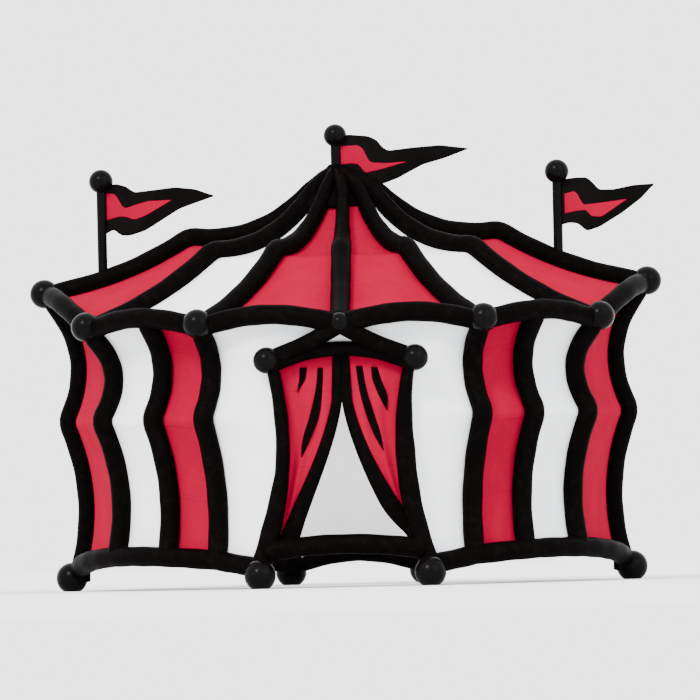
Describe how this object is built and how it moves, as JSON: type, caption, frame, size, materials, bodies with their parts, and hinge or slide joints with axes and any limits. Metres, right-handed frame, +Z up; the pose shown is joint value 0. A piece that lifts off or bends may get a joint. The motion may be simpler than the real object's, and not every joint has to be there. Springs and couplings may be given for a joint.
{
  "type": "circus big top tent",
  "caption": "Small circus tent with striped canvas roof and walls in a fat black tube frame with ball finials, a curtained doorway and pennants on masts",
  "frame": {"origin": "on the ground, in the middle of the tent, which is the centre of the underside of its bounding box", "axes": "+Z up; -Y out through the doorway; +X to the right for someone who faces the doorway"},
  "size_m": [10.5008, 10.3702, 7.6871],
  "materials": {
    "black_vinyl": "satin black vinyl sleeve over foam and tube",
    "red_canvas": "coral red coated canvas",
    "white_canvas": "white coated canvas"
  },
  "bodies": {
    "root": {"back_frame": "black_vinyl", "back_wall": "white_canvas", "crown_mast": "black_vinyl", "curtain_left": "red_canvas", "curtain_right": "red_canvas", "door_frame": "black_vinyl", "door_wall_left": "white_canvas", "door_wall_right": "white_canvas", "flag_left": "red_canvas", "flag_middle": "red_canvas", "flag_right": "red_canvas", "gable_panel": "white_canvas", "roof_back_left_inner": "red_canvas", "roof_back_left_middle": "white_canvas", "roof_back_left_outer": "red_canvas", "roof_back_right_inner": "red_canvas", "roof_back_right_middle": "white_canvas", "roof_back_right_outer": "red_canvas", "roof_front_left_inner": "red_canvas", "roof_front_left_middle": "white_canvas", "roof_front_left_outer": "red_canvas", "roof_front_right_inner": "red_canvas", "roof_front_right_middle": "white_canvas", "roof_front_right_outer": "red_canvas", "roof_rib_back_centre": "black_vinyl", "roof_rib_back_left_inner": "black_vinyl", "roof_rib_back_left_outer": "black_vinyl", "roof_rib_back_right_inner": "black_vinyl", "roof_rib_back_right_outer": "black_vinyl", "roof_rib_front_centre": "black_vinyl", "roof_rib_front_left_inner": "black_vinyl", "roof_rib_front_left_outer": "black_vinyl", "roof_rib_front_right_inner": "black_vinyl", "roof_rib_front_right_outer": "black_vinyl", "roof_rib_left_side": "black_vinyl", "roof_rib_right_side": "black_vinyl", "side_mast_left": "black_vinyl", "side_mast_right": "black_vinyl", "side_post_left": "black_vinyl", "side_post_right": "black_vinyl", "wall_back_left_red_inner": "red_canvas", "wall_back_left_red_outer": "red_canvas", "wall_back_left_white": "white_canvas", "wall_back_right_red_inner": "red_canvas", "wall_back_right_red_outer": "red_canvas", "wall_back_right_white": "white_canvas", "wall_frame_back_left": "black_vinyl", "wall_frame_back_right": "black_vinyl", "wall_frame_front_left": "black_vinyl", "wall_frame_front_right": "black_vinyl", "wall_front_left_red_inner": "red_canvas", "wall_front_left_red_outer": "red_canvas", "wall_front_left_white": "white_canvas", "wall_front_right_red_inner": "red_canvas", "wall_front_right_red_outer": "red_canvas", "wall_front_right_white": "white_canvas"}
  },
  "joints": []
}
